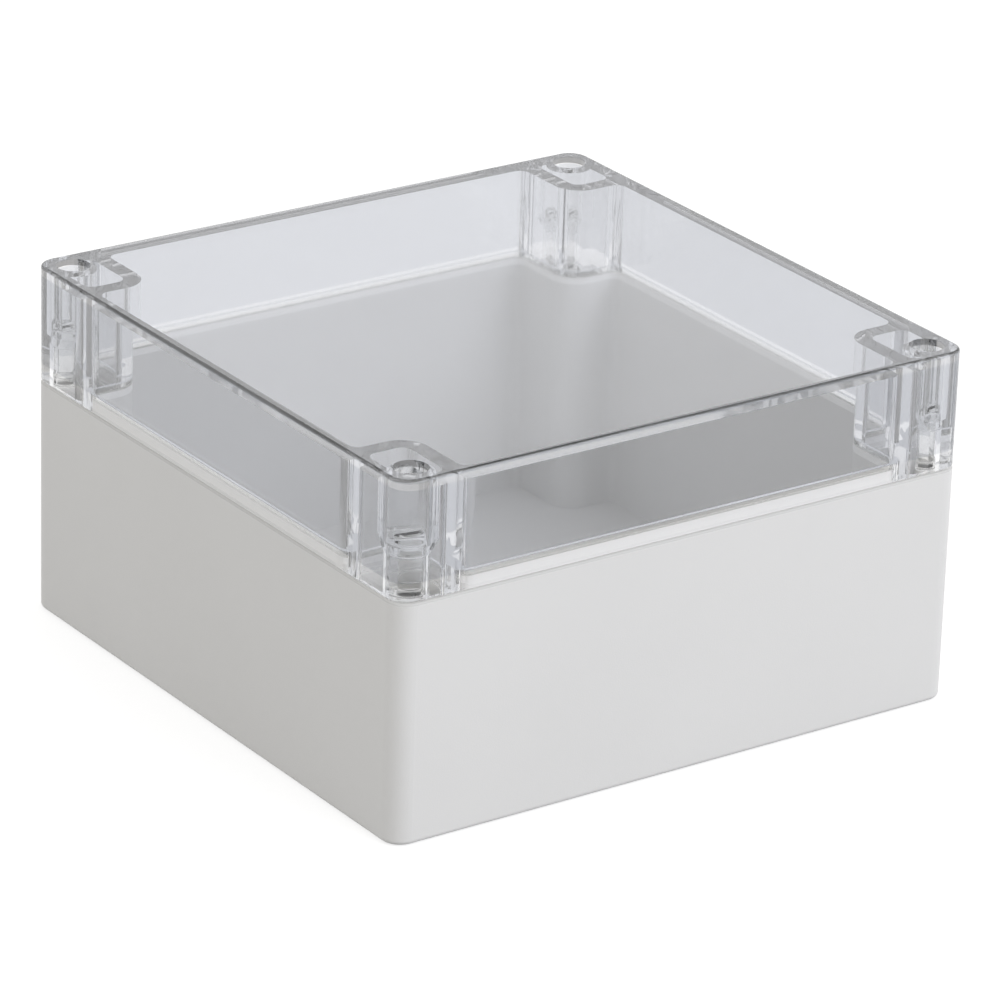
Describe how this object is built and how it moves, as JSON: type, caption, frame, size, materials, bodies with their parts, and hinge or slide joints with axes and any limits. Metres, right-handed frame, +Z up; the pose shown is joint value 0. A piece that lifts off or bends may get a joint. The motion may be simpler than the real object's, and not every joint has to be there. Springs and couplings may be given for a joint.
{
  "type": "outdoor plastic enclosure",
  "caption": "Square sealed wall-mounting box with an opaque base and a deep clear lid that captive corner screws hold down on a seal.",
  "frame": {"origin": "middle of the underside", "axes": "+Z up through the lid, +X and +Y square to the side walls, with the longer sides of the corner cells along Y"},
  "size_m": [0.16, 0.16, 0.09],
  "materials": {
    "base_plastic": "light grey, fine satin moulding",
    "clear_plastic": "clear, polished moulding",
    "seal": "milky, half clear",
    "screw_plastic": "natural, half clear",
    "retainer": "matt, pale",
    "insert_steel": "turned"
  },
  "bodies": {
    "base": {"base": "base_plastic", "threaded_insert_front_left": "insert_steel", "threaded_insert_front_right": "insert_steel", "threaded_insert_back_left": "insert_steel", "threaded_insert_back_right": "insert_steel"},
    "lid": {"lid": "clear_plastic", "gasket": "seal"},
    "retainer_front_left": {"screw_retainer_front_left": "retainer"},
    "screw_front_left": {"lid_screw_front_left": "screw_plastic"},
    "retainer_front_right": {"screw_retainer_front_right": "retainer"},
    "screw_front_right": {"lid_screw_front_right": "screw_plastic"},
    "retainer_back_left": {"screw_retainer_back_left": "retainer"},
    "screw_back_left": {"lid_screw_back_left": "screw_plastic"},
    "retainer_back_right": {"screw_retainer_back_right": "retainer"},
    "screw_back_right": {"lid_screw_back_right": "screw_plastic"}
  },
  "joints": [
    {"name": "lid_lift", "type": "slide", "parent": "base", "child": "lid", "axis": [0, 0, 1], "range_m": [0, 0.06]},
    {"name": "screw_rise_front_left", "type": "slide", "parent": "lid", "child": "retainer_front_left", "axis": [0, 0, 1], "range_m": [0, 0.0077]},
    {"name": "screw_turn_front_left", "type": "hinge", "parent": "retainer_front_left", "child": "screw_front_left", "pos_m": [-0.073, -0.073, 0.0725], "axis": [0, 0, 1], "range_deg": [0, 3961]},
    {"name": "screw_rise_front_right", "type": "slide", "parent": "lid", "child": "retainer_front_right", "axis": [0, 0, 1], "range_m": [0, 0.0077]},
    {"name": "screw_turn_front_right", "type": "hinge", "parent": "retainer_front_right", "child": "screw_front_right", "pos_m": [0.073, -0.073, 0.0725], "axis": [0, 0, 1], "range_deg": [0, 3961]},
    {"name": "screw_rise_back_left", "type": "slide", "parent": "lid", "child": "retainer_back_left", "axis": [0, 0, 1], "range_m": [0, 0.0077]},
    {"name": "screw_turn_back_left", "type": "hinge", "parent": "retainer_back_left", "child": "screw_back_left", "pos_m": [-0.073, 0.073, 0.0725], "axis": [0, 0, 1], "range_deg": [0, 3961]},
    {"name": "screw_rise_back_right", "type": "slide", "parent": "lid", "child": "retainer_back_right", "axis": [0, 0, 1], "range_m": [0, 0.0077]},
    {"name": "screw_turn_back_right", "type": "hinge", "parent": "retainer_back_right", "child": "screw_back_right", "pos_m": [0.073, 0.073, 0.0725], "axis": [0, 0, 1], "range_deg": [0, 3961]}
  ],
  "couplings": [
    {"joint": "screw_turn_front_left", "follows": "screw_rise_front_left", "rad_per_m": 8976},
    {"joint": "screw_turn_front_right", "follows": "screw_rise_front_right", "rad_per_m": 8976},
    {"joint": "screw_turn_back_left", "follows": "screw_rise_back_left", "rad_per_m": 8976},
    {"joint": "screw_turn_back_right", "follows": "screw_rise_back_right", "rad_per_m": 8976}
  ]
}
